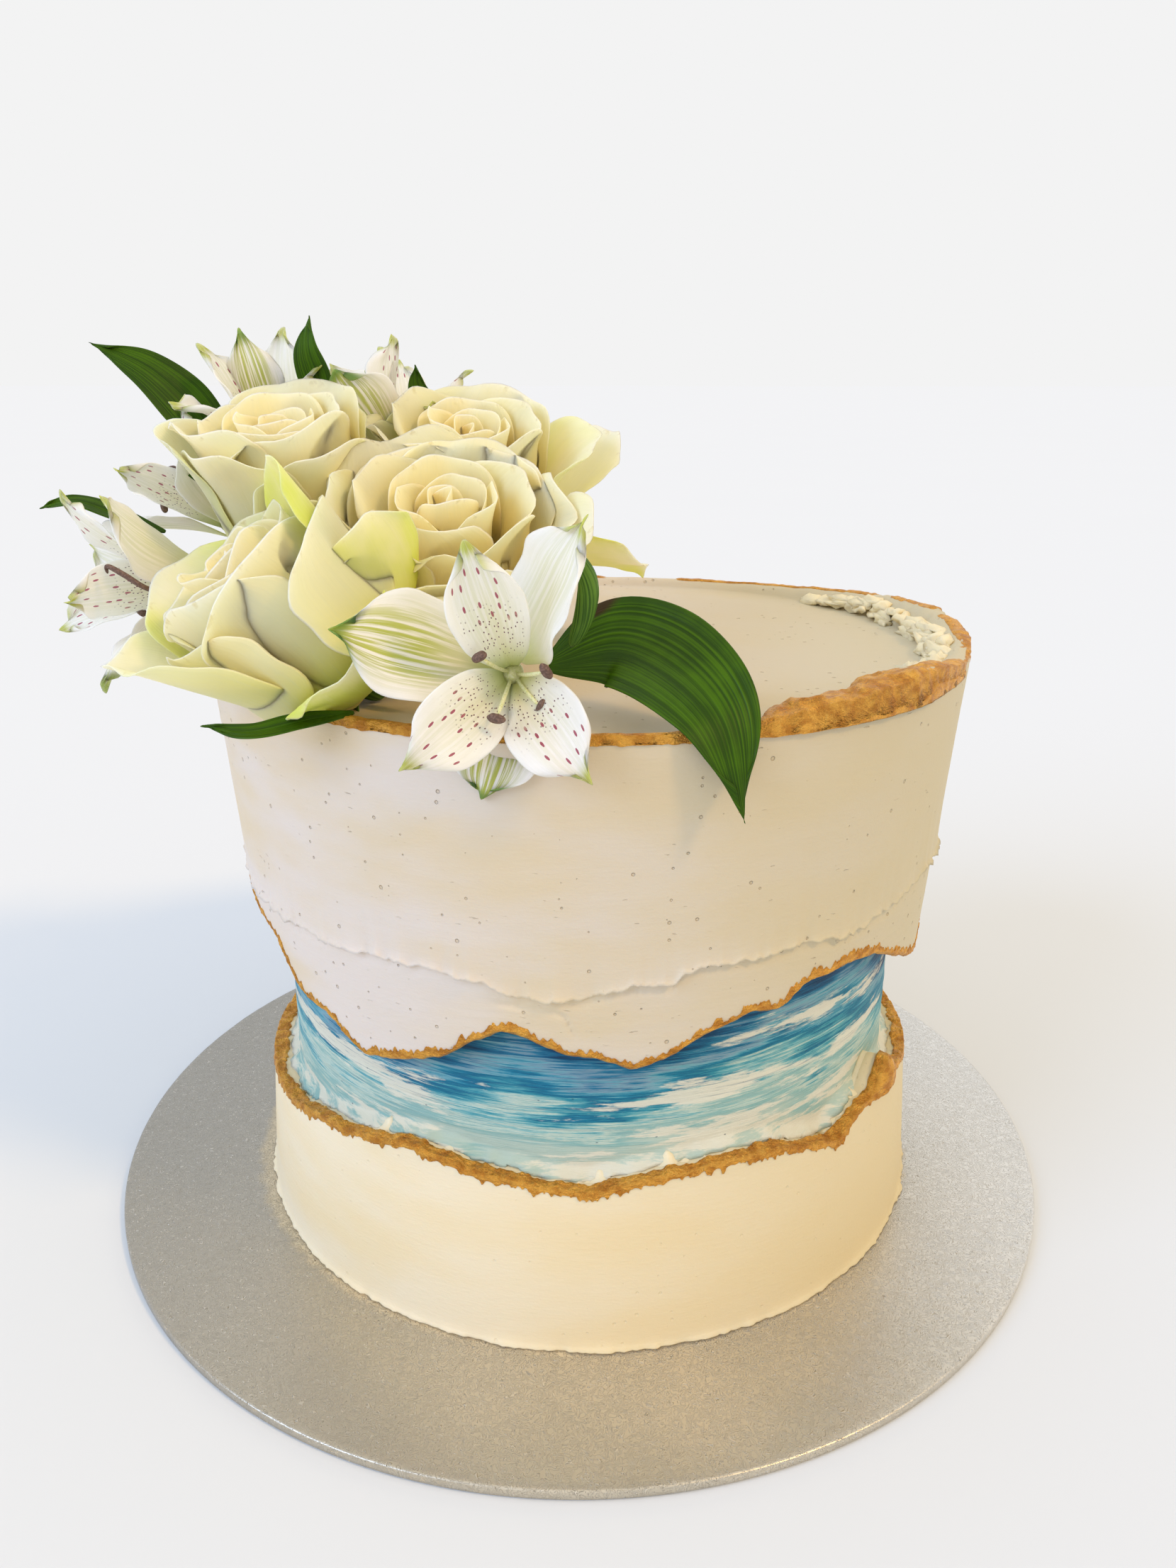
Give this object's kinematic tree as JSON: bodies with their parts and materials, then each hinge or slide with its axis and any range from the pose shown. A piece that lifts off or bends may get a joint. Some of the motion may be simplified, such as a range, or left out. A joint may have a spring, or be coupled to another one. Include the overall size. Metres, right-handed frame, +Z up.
{
  "type": "fault line cake",
  "caption": "Round iced cake with a recessed blue marbled band between gold-edged tiers, fresh flowers on top and a silver board below.",
  "frame": {"origin": "centre of the board's underside, on the surface the board stands on", "axes": "+Z up; -Y towards the viewer of the picture, where the bouquet hangs over the rim; +X to the right"},
  "size_m": [0.254, 0.254, 0.2232],
  "materials": {
    "foil": "embossed silver foil on card",
    "blue_icing": "blue and white marbled buttercream",
    "icing": "smoothed ivory buttercream, gold painted edges",
    "rose": "soft ivory petals, green outside",
    "alstroemeria": "white petals with green streaks and maroon dashes",
    "leaf": "deep green, parallel veins"
  },
  "bodies": {
    "root": {"board": "foil", "cake_core": "blue_icing", "lower_icing": "icing", "upper_icing": "icing", "rose_front_left": "rose", "rose_centre": "rose", "rose_back_left": "rose", "rose_back_right": "rose", "alstroemeria_front": "alstroemeria", "alstroemeria_left": "alstroemeria", "alstroemeria_mid_left": "alstroemeria", "alstroemeria_top_left": "alstroemeria", "alstroemeria_top": "alstroemeria", "alstroemeria_back": "alstroemeria", "leaf_right": "leaf", "leaf_top_left": "leaf", "leaf_front_left": "leaf", "leaf_far_left": "leaf", "leaf_mid_left": "leaf", "leaf_top_upright": "leaf", "leaf_top_back": "leaf", "leaf_behind": "leaf", "leaf_behind_left": "leaf"}
  },
  "joints": []
}
